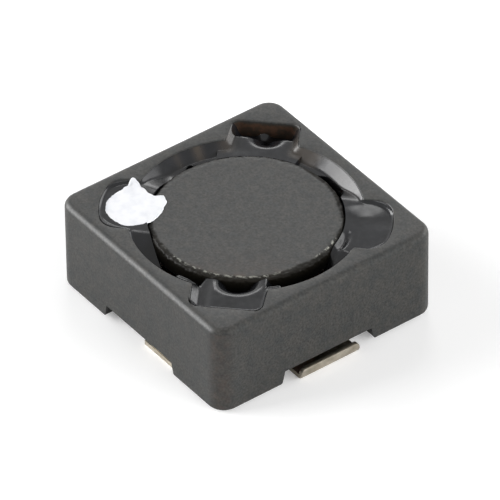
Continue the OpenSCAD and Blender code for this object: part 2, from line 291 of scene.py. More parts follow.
@dataclass(frozen=True)
class SinteredFerrite:
    """Manganese-zinc ferrite, pressed and sintered: a dull dark grey ceramic.

    Its real grains are some 0.02 mm wide and are drawn coarser, so that they show. It
    reads three values that the pieces carry: "amber" where a thin film of cured varnish
    browns it or one upright edge is darkened brown, one where black resin wetted it and
    where black is painted shade down in the gap, and one where the chips of its rim are
    painted bright as glints.
    """

    name: str = "sintered_ferrite"
    dark: str = "#242423"
    light: str = "#3b3b3a"
    warm: str = "#fffaf3"
    cool: str = "#ccd3d5"
    amber: str = "#352c24"
    rust: str = "#4c382c"
    resin_and_shade: str = "#15130f"
    chip_glint: str = "#d4d4c8"
    grain: Blotches = Blotches(0.09, 0.3, 0.7, rough=0.6)
    cloud: Blotches = Blotches(0.35, detail=4.0, rough=0.62)
    pool: Blotches = Blotches(0.3, 0.45, 0.6)
    chip: Blotches = Blotches(0.13, 0.46, 0.62, detail=1.0)

    def build(self) -> bpy.types.Material:
        """Makes the material: fine grain and soft clouds under film, black resin with painted
        shade, and painted chip glints.

        Returns:
            The material.
        """
        material, tree = new_tree(self.name)
        amber, resin_and_shade, chip_glints = (
            add_node(tree, "ShaderNodeAttribute", attribute_name=name).outputs["Fac"]
            for name in ("amber", "resin_and_shade", "chip_glints")
        )
        grain, grey = self.grain.build(tree)
        tint = layered(tree, self.warm, (self.cloud.build(tree)[1], self.cool))
        inputs = {"Factor": 1.0, 6: layered(tree, self.dark, (grey, self.light)), 7: tint}
        tinted = add_node(tree, "ShaderNodeMix", inputs, data_type="RGBA", blend_type="MULTIPLY")
        varnish = layered(tree, self.amber, (self.pool.build(tree)[1], self.rust))
        # Painted highlight: pale grains laid on the rim's chips stand in for glints.
        inputs = {0: self.chip.build(tree)[1], 1: chip_glints}
        glinting = add_node(tree, "ShaderNodeMath", inputs, operation="MULTIPLY")
        # Painted shade: the resin black also stands for the shade down in the gap.
        colour = layered(
            tree, tinted.outputs[2], (amber, varnish), (resin_and_shade, self.resin_and_shade), (glinting, self.chip_glint)
        )
        rough = add_node(tree, "ShaderNodeMapRange", {0: grain, 1: 0.25, 2: 0.75, 3: 0.5, 4: 0.4})
        # Painted shade: the specular level drops under that black, so the gap reflects nothing.
        gloss = add_node(tree, "ShaderNodeMapRange", {0: resin_and_shade, 3: 0.5, 4: 0.12})
        return dressed(
            material, grain, 0.004,
            Base_Color=colour, Roughness=rough, Specular_IOR_Level=gloss, IOR=1.45,
        )


@dataclass(frozen=True)
class PottingEpoxy:
    """Black two-part epoxy, dosed by hand and cured: smooth, glossy, slightly wavy.

    Where a piece carries "film", the layer is so thin that it looks brown and dull.
    """

    name: str = "potting_epoxy"
    colour: str = "#0f1012"
    haze: str = "#191a1d"
    film: str = "#463e35"
    wave: Blotches = Blotches(0.7, detail=1.0, rough=0.4)
    dust: Blotches = Blotches(0.2, 0.3, 0.7)

    def build(self) -> bpy.types.Material:
        """Makes the material: near black with a slow haze, brown films and faint waves.

        Returns:
            The material.
        """
        material, tree = new_tree(self.name)
        film = add_node(tree, "ShaderNodeAttribute", attribute_name="film").outputs["Fac"]
        wave, haze = self.wave.build(tree)
        colour = layered(tree, self.colour, (haze, self.haze), (film, self.film))
        inputs = {0: film, 1: 0.3, 2: self.dust.build(tree, (0.14, 0.22))[1]}
        rough = add_node(tree, "ShaderNodeMath", inputs, operation="MULTIPLY_ADD")
        return dressed(material, wave, 0.01, Base_Color=colour, Roughness=rough, IOR=1.4)


@dataclass(frozen=True)
class EnamelledCopper:
    """Round copper wire under clear polyester enamel: warm red-brown and glossy."""

    name: str = "enamelled_copper"
    copper: str = "#a4553a"
    burnt: str = "#7a3420"
    bloom: Blotches = Blotches(0.35, 0.35, 0.7)

    def build(self) -> bpy.types.Material:
        """Makes the material: metal with a darker bloom under a clear coat.

        Returns:
            The material.
        """
        material, tree = new_tree(self.name)
        bloom, burnt = self.bloom.build(tree)
        colour = layered(tree, self.copper, (burnt, self.burnt))
        return dressed(
            material, bloom, 0.002,
            Base_Color=colour, Metallic=1.0, Roughness=0.3, Coat_Weight=0.8, Coat_Roughness=0.1,
        )


@dataclass(frozen=True)
class TinPlate:
    """Tin-plated bronze sheet, stamped and bent: dull warm silver with fine tool marks."""

    name: str = "tin_plate"
    bright: str = "#cfc7b8"
    dull: str = "#a89f8e"
    patch: Blotches = Blotches(0.5, 0.35, 0.68, detail=3.0, rough=0.55)
    marks: Blotches = Blotches(0.12, 0.3, 0.7, detail=3.0, rough=0.6)

    def build(self) -> bpy.types.Material:
        """Makes the material: patchy tin whose tool marks also roughen it.

        Returns:
            The material.
        """
        material, tree = new_tree(self.name)
        colour = layered(tree, self.bright, (self.patch.build(tree)[1], self.dull))
        marks, rough = self.marks.build(tree, (0.28, 0.45))
        return dressed(material, marks, 0.004, Base_Color=colour, Metallic=1.0, Roughness=rough)


@dataclass(frozen=True)
class WhiteInk:
    """Opaque white marking ink, dabbed on with a pin: thick, smooth, softly glossy."""

    name: str = "white_ink"
    colour: str = "#e6e7ea"
    shade: str = "#d9dbe0"
    pool: Blotches = Blotches(0.4, 0.45, 0.75)

    def build(self) -> bpy.types.Material:
        """Makes the material: near white with a faint cool shade and soft relief.

        Returns:
            The material.
        """
        material, tree = new_tree(self.name)
        pool, cool = self.pool.build(tree)
        colour = layered(tree, self.colour, (cool, self.shade))
        return dressed(material, pool, 0.01, Base_Color=colour, Roughness=0.35, IOR=1.5)


class Slot(Enum):
    """Names of the material slots."""

    FERRITE = "ferrite"
    COPPER = "enamelled_copper"
    TERMINAL = "tinned_bronze"
    EPOXY = "epoxy"
    INK = "white_paint"


# ------------------------------------------------------------------- meshes


def skin(bm: bmesh.types.BMesh, rings: list[list[Vector]], closed: bool) -> None:
    """Lays one grid through rings of points, so that each ring is a row of the grid.

    Args:
        bm: The mesh.
        rings: Rows of as many points each.
        closed: Whether each row returns to its first point.
    """
    count = len(rings[0])
    across = count if closed else count - 1
    along = len(rings) - 1
    made = bmesh.ops.create_grid(bm, x_segments=across, y_segments=along, size=1.0)["verts"]
    for v in made:
        i = round((v.co.x + 1) / 2 * across) % count
        j = round((v.co.y + 1) / 2 * along)
        v.co = rings[j][i]


def merge(bm: bmesh.types.BMesh, reach: float = MERGE_MM) -> None:
    """Joins the points that lie on one another."""
    bmesh.ops.remove_doubles(bm, verts=bm.verts, dist=reach)


def face_out(bm: bmesh.types.BMesh) -> None:
    """Turns the faces outwards and renews their normals."""
    bmesh.ops.recalc_face_normals(bm, faces=bm.faces)
    bm.normal_update()


def carry(bm: bmesh.types.BMesh, name: str, value_at: Callable[[Vector], float]) -> None:
    """Lets a mesh carry a value for its material.

    Args:
        bm: The mesh, in millimetres.
        name: Name of the value.
        value_at: Gives the value at a point.
    """
    layer = bm.verts.layers.float.new(name)
    for v in bm.verts:
        v[layer] = value_at(v.co)


def make_piece(
    bm: bmesh.types.BMesh,
    name: str,
    material: bpy.types.Material,
    replaces: str,
    weighted: bool = True,
) -> bpy.types.Object:
    """Turns a millimetre mesh into a piece of the object.

    Args:
        bm: The finished mesh, which is freed.
        name: Name of the piece.
        material: Its material.
        replaces: CAD node that it stands for.
        weighted: Whether flat faces keep flat shading beside their rounded edges.

    Returns:
        The new object, riding on the frame.
    """
    merge(bm)
    face_out(bm)
    bm.transform(Matrix.Scale(MM, 4))
    for face in bm.faces:
        face.smooth = True
    for edge in bm.edges:
        edge.smooth = edge.calc_face_angle(0) < SHARP
    mesh = bpy.data.meshes.new(name)
    bm.to_mesh(mesh)
    bm.free()
    mesh.materials.append(material)
    piece = bpy.data.objects.new(name, mesh)
    bpy.context.scene.collection.objects.link(piece)
    if weighted:
        modifier = piece.modifiers.new("flat_faces", "WEIGHTED_NORMAL")
        modifier.weight = 100
        modifier.keep_sharp = True
    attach(piece, "root")
    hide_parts(replaces)
    log.info("%s: %d faces", name, len(mesh.polygons))
    return piece


# ------------------------------------------------------------------ outlines


@dataclass(frozen=True)
class Pocket:
    """One corner pocket of the bore, seen along its own diagonal.

    Attributes:
        angle: Direction of the diagonal, in degrees.
        reach: Distance from the middle to the outer wall.
        half: Half the width, measured at the outer wall.
        corner_r: Radius of the two outer corners.
        flare: Angle at which the flanks open towards the bore, in degrees.
        bow_r: Radius of a bowed outer wall, or 0 for a flat one.
    """

    angle: float
    reach: float
    half: float
    corner_r: float
    flare: float = 0.0
    bow_r: float = 0.0

    def outline(self, bore_r: float) -> list[Point]:
        """Lists the pocket's wall from one mouth corner round to the other.

        Args:
            bore_r: Radius of the bore that the pocket opens into.

        Returns:
            Points in the frame's axes, counterclockwise.
        """
        upper = self._bowed() if self.bow_r else self._flared()
        slope = math.tan(math.radians(self.flare))
        mouth_x = bore_r
        for _ in range(8):
            mouth_x = math.sqrt(bore_r**2 - (self.half + (self.reach - mouth_x) * slope) ** 2)
        mouth_y = self.half + (self.reach - mouth_x) * slope
        end_x, end_y = upper[-1]
        for share in (0.8, 0.6, 0.4, 0.2, 0.0):
            upper.append((mouth_x + (end_x - mouth_x) * share, mouth_y + (end_y - mouth_y) * share))
        lower = [(x, -y) for x, y in reversed(upper)]
        return [turned(p, self.angle) for p in lower[:-1] + upper]

    def inside(self, x: float, y: float) -> float:
        """Gives the distance to the pocket's nearest wall, negative beyond it.

        Args:
            x: Place along the diagonal.
            y: Place across it.

        Returns:
            The distance.
        """
        bow_x = self.reach - self.bow_r
        out = self.bow_r - math.hypot(x - bow_x, y) if self.bow_r else self.reach - x
        side = self.flank(x, y)
        r = self.corner_r
        if out < r and side < r:
            return r - math.hypot(r - out, r - side)
        return min(out, side)

    def flank(self, x: float, y: float) -> float:
        """Gives the distance to the nearer of the two flanks, negative beyond it."""
        slope = math.radians(self.flare)
        return (self.half - abs(y)) * math.cos(slope) + (self.reach - x) * math.sin(slope)

    def _flared(self) -> list[Point]:
        """Lists half of a flat outer wall and its rounded corner, from the diagonal.

        Returns:
            Points in the pocket's own axes.
        """
        slope = math.radians(self.flare)
        r = self.corner_r
        cy = self.half + r * math.tan(slope) - r / math.cos(slope)
        wall = [(self.reach, cy * i / 12) for i in range(12)]
        return wall + arc((self.reach - r, cy), r, 0, 90 - self.flare, 8)

    def _bowed(self) -> list[Point]:
        """Lists half of a bowed outer wall and its rounded corner, from the diagonal.

        Returns:
            Points in the pocket's own axes.
        """
        r = self.corner_r
        bow_x = self.reach - self.bow_r
        cy = self.half - r
        cx = bow_x + math.sqrt((self.bow_r - r) ** 2 - cy**2)
        turn = math.degrees(math.atan2(cy, cx - bow_x))
        return arc((bow_x, 0), self.bow_r, 0, turn, 12)[:-1] + arc((cx, cy), r, turn, 90, 8)


@dataclass(frozen=True)
class Rail:
    """One place on the wall of the opening, and the ways across it.

    Attributes:
        wall: The place.
        out: Direction into the ferrite.
        angle: Direction of the place from the middle, in degrees.
        fan: The same, evened out so that neighbours never bunch up.
    """

    wall: Vector
    out: Vector
    angle: float
    fan: float


def softened(points: list[Point], sharp: list[int], cut: float) -> list[Point]:
    """Rounds some corners of a closed outline.

    Args:
        points: The outline.
        sharp: Places of the corners to round.
        cut: Distance from a corner to where its rounding starts.

    Returns:
        The new outline.
    """
    out: list[Point] = []
    for i, p in enumerate(points):
        if i not in sharp:
            out.append(p)
            continue
        here = Vector(p)
        before = here + (Vector(points[i - 1]) - here).normalized() * cut
        after = here + (Vector(points[(i + 1) % len(points)]) - here).normalized() * cut
        for t in (0, 0.25, 0.5, 0.75, 1):
            q = (1 - t) ** 2 * before + 2 * t * (1 - t) * here + t**2 * after
            out.append((q.x, q.y))
    return out


# ----------------------------------------------------------------- assemblies


@dataclass
class Body:
    """Sizes that the pieces share, in millimetres, read from the frame.

    Attributes:
        wall: Ferrite left between the bore and the shield's sides.
        pocket_depth: How far a corner pocket reaches beyond the bore.
        mouth_cut: How far the corners of a pocket's mouth are cut back.
    """

    wall: float = 0.6
    pocket_depth: float = 1.04
    mouth_cut: float = 0.07
    half: float = field(init=False)
    foot_z: float = field(init=False)
    top_z: float = field(init=False)
    flange_r: float = field(init=False)
    drum_z0: float = field(init=False)
    drum_z1: float = field(init=False)

    def __post_init__(self) -> None:
        """Reads the shield's and the drum's boxes."""
        low, high = box_mm("shield_core")
        self.half, self.foot_z, self.top_z = high.x, low.z, high.z
        low, high = box_mm("drum_core")
        self.flange_r, self.drum_z0, self.drum_z1 = high.x, low.z, high.z

    @property
    def bore_r(self) -> float:
        """Radius of the bore."""
        return self.half - self.wall

    @property
    def pocket_r(self) -> float:
        """Distance from the middle to a pocket's outer wall."""
        return self.bore_r + self.pocket_depth

    @cached_property
    def pockets(self) -> dict[str, Pocket]:
        """Sets out the four corner pockets.

        Returns:
            The pockets by name, in order of angle.
        """
        return {
            "right": Pocket(45, self.pocket_r + 0.04, 1.4, 0.7, bow_r=3.0),
            "back": Pocket(135, self.pocket_r, 1.28, 0.35, flare=5),
            "left": Pocket(225, self.pocket_r + 0.04, 1.4, 0.7, bow_r=3.0),
            "front": Pocket(315, self.pocket_r, 1.34, 0.35, flare=3),
        }

    def opening(self) -> list[Rail]:
        """Lists rails along the outline of the bore with its four pockets.

        Returns:
            A closed row, counterclockwise from the start of the right pocket.
        """
        walls = [p.outline(self.bore_r) for p in self.pockets.values()]
        points: list[Point] = []
        sharp: list[int] = []
        for i, wall in enumerate(walls):
            sharp += [len(points), len(points) + len(wall) - 1]
            points += wall
            start, end = direction(*wall[-1]), direction(*walls[(i + 1) % 4][0])
            end += 360 * (end < start)
            points += arc((0, 0), self.bore_r, start, end, 48)[1:-1]
        points = softened(points, sharp, self.mouth_cut)
        first = direction(*points[0])
        rails = []
        for i, here in enumerate(points):
            steady = first + 360 * i / len(points)
            angle = steady + (direction(*here) - steady + 180) % 360 - 180
            before, after = Vector(points[i - 1]), Vector(points[(i + 1) % len(points)])
            along = (after - before).normalized()
            out = Vector((along.y, -along.x))
            rails.append(Rail(Vector(here), out, angle, 0.6 * angle + 0.4 * steady))
        return rails


@dataclass
class ShieldCore:
    """The square ferrite shield with its bore, pockets and base notches."""

    body: Body
    corner_r: float = 0.7
    top_edge_r: float = 0.28
    foot_edge_r: float = 0.16
    bore_edge: float = 0.06
    notch_half: float = 2.02
    notch_z: float = 0.74
    notch_draft: float = 14.0
    varnish: tuple[Stretch, ...] = ((116, 154, 3, 1.0), (140, 200, 12, 0.8))

    def outside(self, angle: float, inset: float) -> Point:
        """Finds where a ray from the middle leaves the rounded square.

        Args:
            angle: Direction of the ray, in degrees.
            inset: How far the outline is drawn in.

        Returns:
            The point on the outline.
        """
        ray = (math.cos(math.radians(angle)), math.sin(math.radians(angle)))
        c, s = max(abs(v) for v in ray), min(abs(v) for v in ray)
        half, r = self.body.half - inset, self.corner_r - inset
        reach = half / c
        if reach * s > half - r:
            k = (half - r) * (c + s)
            reach = k + math.sqrt(k * k - (2 * (half - r) ** 2 - r * r))
        return ray[0] * reach, ray[1] * reach

    def build(self, material: bpy.types.Material) -> None:
        """Models the shield and dresses it.

        Args:
            material: The ferrite.
        """
        bm = bmesh.new()
        rails = self.body.opening()
        top, edge, r = self.body.top_z, self.bore_edge, self.top_edge_r

        def outer(inset: float, z: float) -> list[Vector]:
            """Lists a ring on the outside."""
            return [Vector((*self.outside(rail.fan, inset), z)) for rail in rails]

        def inner(inset: float, z: float) -> list[Vector]:
            """Lists a ring on the wall of the opening."""
            return [Vector((*(rail.wall + rail.out * inset), z)) for rail in rails]

        rings = [outer(0, self.notch_z)]
        for k in range(9):
            turn = math.radians(90 * k / 8)
            rings.append(outer(r * (1 - math.cos(turn)), top - r * (1 - math.sin(turn))))
        for k in range(4):
            turn = math.radians(90 * k / 3)
            rings.append(inner(edge * (1 - math.sin(turn)), top - edge * (1 - math.cos(turn))))
        rings += [inner(0, top - drop) for drop in (0.2, 0.45, 0.7, 1.1)]
        rings += [inner(0, self.notch_z), rings[0]]
        skin(bm, rings, closed=True)
        merge(bm)
        self._feet(bm)
        carry(bm, "amber", self._amber)
        # Painted shade: the walls deep in the bore are blackened.
        carry(bm, "resin_and_shade", self._resin_and_shade)
        make_piece(bm, "shield", material, "shield_core")

    def _amber(self, place: Vector) -> float:
        """Says where varnish browns the back pocket's walls, and where one upright edge is darkened
        brown.

        Args:
            place: A point of the mesh.

        Returns:
            The share of brown.
        """
        angle = direction(place.x, place.y)
        if self._in_opening(place):
            below_edge = place.z < self.body.top_z - self.bore_edge
            return max(shares(angle, self.varnish)) * below_edge
        at_corner = math.hypot(place.x, place.y) > self.body.pocket_r + 0.5
        below = place.z < self.body.top_z - 0.8 * self.top_edge_r
        return 0.22 * between(angle, 310, 320, 4) * at_corner * below

    def _resin_and_shade(self, place: Vector) -> float:
        """Says how far down in the bore the wall is painted black as shade."""
        return smoothstep(self.body.top_z - place.z, 0.5, 0.9) * self._in_opening(place)

    def _in_opening(self, place: Vector) -> bool:
        """Says whether a point lies on the walls of the opening."""
        inner = max(abs(place.x), abs(place.y)) < self.body.half - 0.2
        return inner and math.hypot(place.x, place.y) < self.body.pocket_r + 0.2

    def _feet(self, bm: bmesh.types.BMesh) -> None:
        """Cuts the underside at the notches' flanks and draws four rounded feet down.

        Args:
            bm: The shield's mesh down to the notches' roofs.
        """
        cut = self.notch_half
        for axis in ((1, 0, 0), (0, 1, 0)):
            for side in (-cut, cut):
                geom = [*bm.verts, *bm.edges, *bm.faces]
                place = Vector(axis) * side
                bmesh.ops.bisect_plane(bm, geom=geom, dist=MERGE_MM, plane_co=place, plane_no=axis)
        feet = []
        for face in bm.faces:
            middle = face.calc_center_median()
            if abs(middle.z - self.notch_z) < 1e-4 and min(abs(middle.x), abs(middle.y)) > cut:
                feet.append(face)
        for k in range(6):
            turn = math.radians(90 * k / 5)
            inset = self.foot_edge_r * (1 - math.cos(turn))
            z = self.body.foot_z + self.foot_edge_r * (1 - math.sin(turn))
            flank = cut + (self.notch_z - z) * math.tan(math.radians(self.notch_draft)) + inset
            edges = {e for face in feet for e in face.edges}
            drawn = bmesh.ops.extrude_face_region(bm, geom=[*feet, *edges])["geom"]
            feet = [part for part in drawn if isinstance(part, bmesh.types.BMFace)]
            for v in drawn:
                if isinstance(v, bmesh.types.BMVert):
                    v.co = (*self._held(v.co.xy, inset, flank), z)

    def _held(self, place: Vector, inset: float, flank: float) -> Point:
        """Keeps a point of a foot inside the foot's outline at one level.

        Args:
            place: The point in the plane.
            inset: How far the shield's outline is drawn in.
            flank: Distance of the notches' flanks from the middle planes.

        Returns:
            The nearest allowed point.
        """
        limit = Vector(self.outside(direction(place.x, place.y), inset))
        x, y = limit if limit.length < place.length else place
        return math.copysign(max(abs(x), flank), x), math.copysign(max(abs(y), flank), y)


@dataclass
class DrumCore:
    """The wound ferrite drum: two flanges on a post, with rough ground rims.

    Resin has crept over the upper rim, further on the side that faces +X.

    Attributes:
        crept: Stretches of the rim with the extra width of the crept resin.
        glinting_chips: Stretches of the rim with their share of chips painted bright as glints.
    """

    body: Body
    flange_t: float = 0.7
    post_r: float = 2.0
    rim: float = 0.14
    chip: float = 0.03
    steps: int = 420
    creep: float = 0.12
    crept: tuple[Stretch, ...] = (
        (225, 380, 25, 0.13), (-20, 50, 20, 0.07), (50, 112, 12, 0.1),
    )
    glinting_chips: tuple[Stretch, ...] = ((250, 360, 25, 0.35), (8, 36, 10, 0.65))

    def profile(self) -> list[Point]:
        """Lists the half section, from the top centre round to the bottom centre.

        Returns:
            Points as radius and height.
        """
        z0, z1, r = self.body.drum_z0, self.body.drum_z1, self.body.flange_r
        t, rim = self.flange_t, self.rim
        top = [(0.0, z1), (r * 0.5, z1), (r - 3 * rim, z1)]
        top += [(r - 3 * rim + 2 * rim * i / 6, z1) for i in range(1, 6)]
        round_rim = arc((r - rim, z1 - rim), rim, 90, 0, 6)
        side = [(r, z1 - rim - (t - 2 * rim) * i / 6) for i in range(1, 6)]
        under = arc((r - rim, z1 - t + rim), rim, 0, -90, 3) + [(self.post_r, z1 - t)]
        waist = [(self.post_r, z0 + t)]
        low = arc((r - rim, z0 + t - rim), rim, 90, 0, 3) + arc((r - rim, z0 + rim), rim, 0, -90, 3)
        return top + round_rim + side + under + waist + low + [(0.0, z0)]

    def build(self, material: bpy.types.Material) -> None:
        """Models the drum by spinning its half section, then roughens its top rim.

        Args:
            material: The ferrite.
        """
        bm = bmesh.new()
        verts = [bm.verts.new((r, 0, z)) for r, z in self.profile()]
        edges = [bm.edges.new(pair) for pair in zip(verts, verts[1:])]
        bmesh.ops.spin(
            bm, geom=verts + edges, axis=(0, 0, 1), cent=(0, 0, 0), angle=math.tau,
            steps=self.steps, use_merge=True,
        )
        merge(bm)
        face_out(bm)
        edge = Vector((self.body.flange_r - self.rim / 2, self.body.drum_z1 - self.rim / 2))
        for v in bm.verts:
            away = (Vector((math.hypot(v.co.x, v.co.y), v.co.z)) - edge).length
            near = 1 - smoothstep(away, self.rim * 0.6, self.rim * 1.8)
            if near > 0:
                grit = noise.noise(v.co * 9) + 0.6 * noise.noise(v.co * 21)
                v.co += v.normal * self.chip * near * (grit - 0.5)
        # Resin on the top rim, and painted shade that blackens the drum below it.
        carry(bm, "resin_and_shade", self._resin_and_shade)
        carry(bm, "amber", self._amber)
        # Painted highlight: bright grains on the chipped rim.
        carry(bm, "chip_glints", self._chip_glints)
        make_piece(bm, "drum", material, "drum_core")

    def _creep(self, place: Vector) -> float:
        """Gives how far a point of the top lies beyond the edge of the crept resin.

        Args:
            place: A point of the mesh.

        Returns:
            The distance, negative inside the edge.
        """
        angle = direction(place.x, place.y)
        bay = Vector((*turned((1.0, 0.0), angle), 0.0))
        ragged = 0.05 * noise.noise(bay * 5) + 0.04 * noise.noise(bay * 17)
        edge = self.body.flange_r - self.creep - sum(shares(angle, self.crept)) + ragged
        return math.hypot(place.x, place.y) - edge

    def _resin_and_shade(self, place: Vector) -> float:
        """Says where black resin covers the rim, and where black painted shade covers all below it.

        Args:
            place: A point of the mesh.

        Returns:
            The share of black.
        """
        # Painted shade: the flanges' sides, the post and the lower flange are blackened.
        if place.z < self.body.drum_z1 - 0.6 * self.rim:
            return 1.0
        return 0.92 * smoothstep(self._creep(place), -0.04, 0.05)

    def _amber(self, place: Vector) -> float:
        """Says where the top is browned, inside the crept resin on the front side."""
        front = between(direction(place.x, place.y), 270, 365, 35)
        return 0.3 * front * smoothstep(self._creep(place), -0.3, -0.04)

    def _chip_glints(self, place: Vector) -> float:
        """Says where the rim's chips are painted bright as glints.

        Args:
            place: A point of the mesh.

        Returns:
            The share of chips.
        """
        # Painted highlight: glints only along the listed stretches of the rim.
        side = sum(shares(direction(place.x, place.y), self.glinting_chips))
        at_edge = 1 - smoothstep(abs(self._creep(place) - 0.02), 0.02, 0.06)
        return side * at_edge * (place.z > self.body.drum_z1 - self.rim)


@dataclass
class ResinFill:
    """Black epoxy in one pocket, with its menisci, its bowl and its runs along the gap.

    Attributes:
        pocket: The pocket's name.
        start: First angle, from the pocket's diagonal, in degrees.
        end: Last angle.
        floor_z: Level of the hidden underside.
        slits: Stretches where the gap beside the drum stays open, in frame angles, each
            with its distance off the wall.
        fades: Widths of the ends that run out into the gap, at the start and the end.
        films: Stretches where the layer on the wall is thin, in frame angles, each with
            its share of brown.
        lap: How far the resin stays below the shield's top.
        meniscus: Softness where the resin's skin leaves the wall.
        gap: Air that keeps the resin off the ferrite.
        slit_depth: Depth of an open slit.
        lip_r: Radius of a bowl's lip.
        rows: Number of faces across the fill.
    """

    body: Body
    pocket: str
    start: float
    end: float
    floor_z: float
    slits: tuple[Stretch, ...] = ()
    fades: Point = (0.0, 0.0)
    films: tuple[Stretch, ...] = ()
    lap: float = 0.015
    meniscus: float = 0.06
    gap: float = 0.012
    slit_depth: float = 1.1
    lip_r: float = 0.7
    bowl_depth: float = 1.2
    rows: int = 60

    @property
    def hole(self) -> Pocket:
        """The pocket that it fills."""
        return self.body.pockets[self.pocket]

    def to_wall(self, point: Vector) -> float:
        """Gives the distance to the nearest ferrite wall of the shield."""
        side = self.hole.inside(*turned(point, -self.hole.angle))
        return max(soft_max(self.body.bore_r - point.length, side, 0.2), 0.0)

    def fall(self, point: Vector, angle: float) -> float:
        """Gives how far the surface falls below the brim, before slits and faded ends.

        Args:
            point: Place in the plane.
            angle: Angle from the pocket's diagonal, in degrees.

        Returns:
            The fall, in millimetres.
        """
        raise NotImplementedError

    def height(self, point: Vector, angle: float) -> float:
        """Gives the level of the resin's surface.

        Args:
            point: Place in the plane.
            angle: Angle from the pocket's diagonal, in degrees.

        Returns:
            The level, in millimetres.
        """
        fall = self.fall(point, angle)
        wall = self.to_wall(point)
        way = direction(point.x, point.y)
        for start, end, fade, off in self.slits:
            opened = between(way, start, end, fade)
            begin = off + 0.3 * (1 - opened)
            open_here = smoothstep(opened, 0, 0.2) * smoothstep(wall, begin, begin + 0.07)
            fall += self.slit_depth * open_here
        for width, left in zip(self.fades, (angle - self.start, self.end - angle)):
            if width:
                fall += 1.0 - smoothstep(left, 0, width)
        wave = 0.012 * noise.noise(Vector((point.x * 1.3, point.y * 1.3, self.floor_z)))
        return self.body.top_z - self.lap - max(fall + wave, 0.0)

    def film(self, place: Vector) -> float:
        """Says where the layer is a thin brown film on the wall."""
        thin = max(shares(direction(place.x, place.y), self.films), default=0.0)
        return thin * (1 - smoothstep(self.to_wall(place.xy), 0.35, 0.55))

    def bowl(self, inside: float) -> float:
        """Gives how far a bowl with a rounded lip falls below its rim.

        Args:
            inside: Distance inwards from the rim.

        Returns:
            The fall, in millimetres.
        """
        steep = math.radians(66)
        bend = min(max(inside, 0.0), self.lip_r * math.sin(steep))
        fall = self.lip_r - math.sqrt(self.lip_r**2 - bend**2)
        fall += max(inside - bend, 0.0) * math.tan(steep)
        return self.bowl_depth * (1 - math.exp(-fall / self.bowl_depth))

    def build(self, material: bpy.types.Material) -> None:
        """Models the resin as one closed solid.

        Args:
            material: The epoxy.
        """
        turn = self.hole.angle
        rails = [(rail, (rail.angle - turn + 180) % 360 - 180) for rail in self.body.opening()]
        rails.sort(key=lambda item: item[1])
        first = min(range(len(rails)), key=lambda i: abs(rails[i][1] - self.start))
        last = min(range(len(rails)), key=lambda i: abs(rails[i][1] - self.end))
        rails = rails[first : last + 1]
        inner_r = self.body.flange_r + self.gap
        rings = []
        for row in range(self.rows + 1):
            share = (1 - math.cos(math.pi * row / self.rows)) / 2
            ring = []
            for rail, angle in rails:
                near = Vector(turned((inner_r, 0.0), rail.fan))
                here = near.lerp(rail.wall - rail.out * self.gap, share)
                ring.append(Vector((*here, max(self.height(here, angle), self.floor_z + 0.01))))
            rings.append(ring)
        bm = bmesh.new()
        skin(bm, rings, closed=False)
        base = bmesh.ops.extrude_face_region(bm, geom=list(bm.faces))["geom"]
        for v in base:
            if isinstance(v, bmesh.types.BMVert):
                v.co.z = self.floor_z
        carry(bm, "film", self.film)
        name = f"{self.pocket}_resin"
        make_piece(bm, name, material, f"{self.pocket}_epoxy", weighted=False)


@dataclass
class FullFill(ResinFill):
    """Resin that is full to the drum, with runs along the gap on both sides.

    Attributes:
        skirt: How far the surface falls off the wall.
        run_skirt: The same in the far run.
        far_side: Side on which the run sinks beside the drum, 1 or -1.
        dish: Depth of the shrink dish.
        dish_x: Place of the dish along the diagonal.
        groove: Stretch with a groove beside the drum, in frame angles.
    """

    skirt: float = 0.08
    run_skirt: float = 0.4
    far_side: int = 1
    dish: float = 0.0
    dish_x: float = 4.45
    groove: Point = (0.0, 0.0)

    def fall(self, point: Vector, angle: float) -> float:
        """Gives the fall of the menisci, the dish and the groove.

        Args:
            point: Place in the plane.
            angle: Angle from the pocket's diagonal, in degrees.

        Returns:
            The fall, in millimetres.
        """
        x, y = turned(point, -self.hole.angle)
        in_run = smoothstep(angle * self.far_side, 14, 40)
        skirt = self.skirt + (self.run_skirt - self.skirt) * in_run
        fall = soft_min(self.to_wall(point), skirt, self.meniscus)
        fall += self.dish * (1 - smoothstep(y, 0.45, 1.5)) * math.exp(-((x - self.dish_x) ** 2))
        off = point.length - self.body.flange_r
        dip = 0.15 * math.exp(-(((off - 0.2) / 0.13) ** 2)) - 0.06 * math.exp(-off / 0.08)
        return fall + dip * between(direction(point.x, point.y), *self.groove, 10)


@dataclass
class ShelfFill(ResinFill):
    """Resin that lies as a shelf behind a round bowl that is open to the gap.

    Attributes:
        bowl_at: The bowl's middle, along and across the diagonal.
        bowl_r: The bowl's radius.
    """

    bowl_at: Point = (3.58, 0.2)
    bowl_r: float = 1.16

    def fall(self, point: Vector, angle: float) -> float:
        """Gives the fall of the shelf's menisci, the bowl and the open runs.

        Args:
            point: Place in the plane.
            angle: Angle from the pocket's diagonal, in degrees.

        Returns:
            The fall, in millimetres.
        """
        x, y = turned(point, -self.hole.angle)
        wall = self.to_wall(point)
        in_run = smoothstep(abs(angle), 16, 23)
        skirt = 0.1 + 0.16 * smoothstep(-y, 0.5, 0.95) * (1 - in_run)
        fall = soft_min(wall, skirt, self.meniscus)
        fall += self.bowl(self.bowl_r - math.hypot(x - self.bowl_at[0], y - self.bowl_at[1]))
        return fall + self.slit_depth * in_run * smoothstep(wall, 0.24, 0.36)


